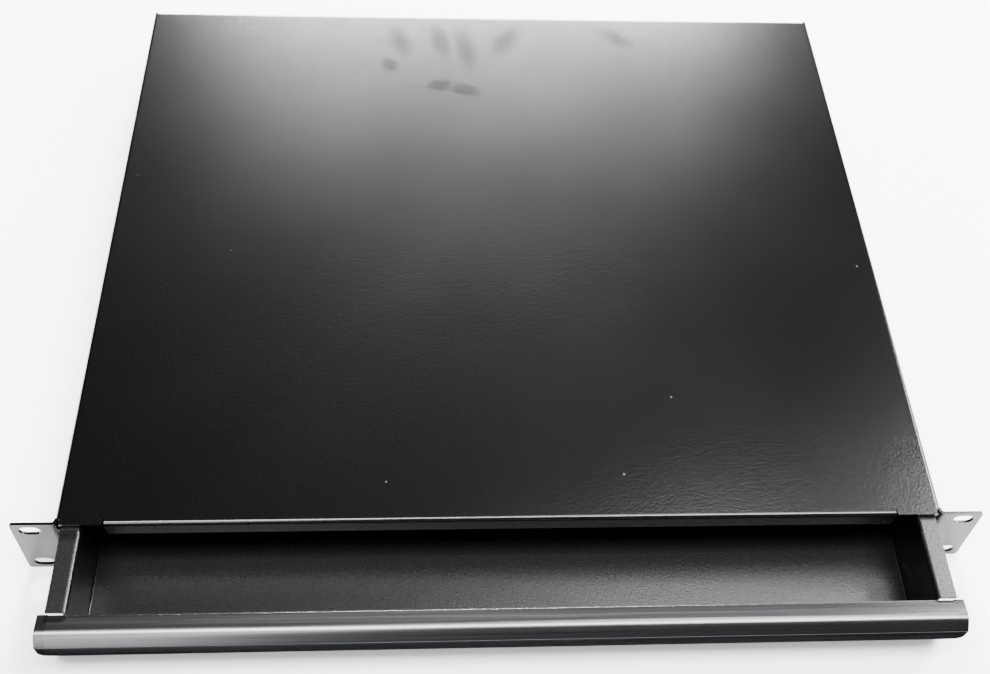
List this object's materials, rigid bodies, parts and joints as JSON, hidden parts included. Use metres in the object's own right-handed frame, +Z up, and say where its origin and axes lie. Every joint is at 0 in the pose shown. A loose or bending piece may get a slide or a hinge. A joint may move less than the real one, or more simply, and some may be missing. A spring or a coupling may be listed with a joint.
{
  "type": "sliding rack drawer",
  "caption": "Black one-unit 19-inch rack drawer with a closed steel case, ball slides and a full-width handle bar, drawn slightly open.",
  "frame": {"origin": "centre of the four rack slots, on the rear face of the ears", "axes": "+X across the rack to the right seen from the front, +Y back into the rack, +Z up"},
  "size_m": [0.4826, 0.4434, 0.0436],
  "materials": {
    "powder_coat": "fine-textured satin black powder coat",
    "black_anodised": "satin black anodised, fine lengthwise grain",
    "end_cap_plastic": "satin black",
    "zinc_steel": "bright zinc plated",
    "cage_steel": "plain pressed steel",
    "ball_steel": "polished",
    "bumper_rubber": "matte",
    "black_screw": "black oxide"
  },
  "bodies": {
    "case": {"case_cover": "powder_coat", "case_base": "powder_coat", "slide_outer_left": "zinc_steel", "slide_outer_right": "zinc_steel", "slide_bumper_left": "bumper_rubber", "slide_bumper_right": "bumper_rubber", "slide_screws_left": "black_screw", "slide_screws_right": "black_screw", "base_screws": "black_screw", "base_nuts": "zinc_steel"},
    "drawer": {"drawer_tray": "powder_coat", "handle_bar": "black_anodised", "handle_end_cap_left": "end_cap_plastic", "handle_end_cap_right": "end_cap_plastic", "handle_screws": "black_screw", "slide_inner_left": "zinc_steel", "slide_inner_right": "zinc_steel", "tray_screws_left": "black_screw", "tray_screws_right": "black_screw"},
    "cage_left": {"slide_cage_left": "cage_steel", "slide_balls_left": "ball_steel"},
    "cage_right": {"slide_cage_right": "cage_steel", "slide_balls_right": "ball_steel"}
  },
  "joints": [
    {"name": "drawer_slide", "type": "slide", "parent": "case", "child": "drawer", "axis": [0, -1, 0], "range_m": [-0.0437, 0.2113]},
    {"name": "cage_left_slide", "type": "slide", "parent": "case", "child": "cage_left", "axis": [0, -1, 0], "range_m": [-0.02185, 0.10565]},
    {"name": "cage_right_slide", "type": "slide", "parent": "case", "child": "cage_right", "axis": [0, -1, 0], "range_m": [-0.02185, 0.10565]}
  ],
  "couplings": [
    {"joint": "cage_left_slide", "follows": "drawer_slide", "ratio": 0.5},
    {"joint": "cage_right_slide", "follows": "drawer_slide", "ratio": 0.5}
  ]
}
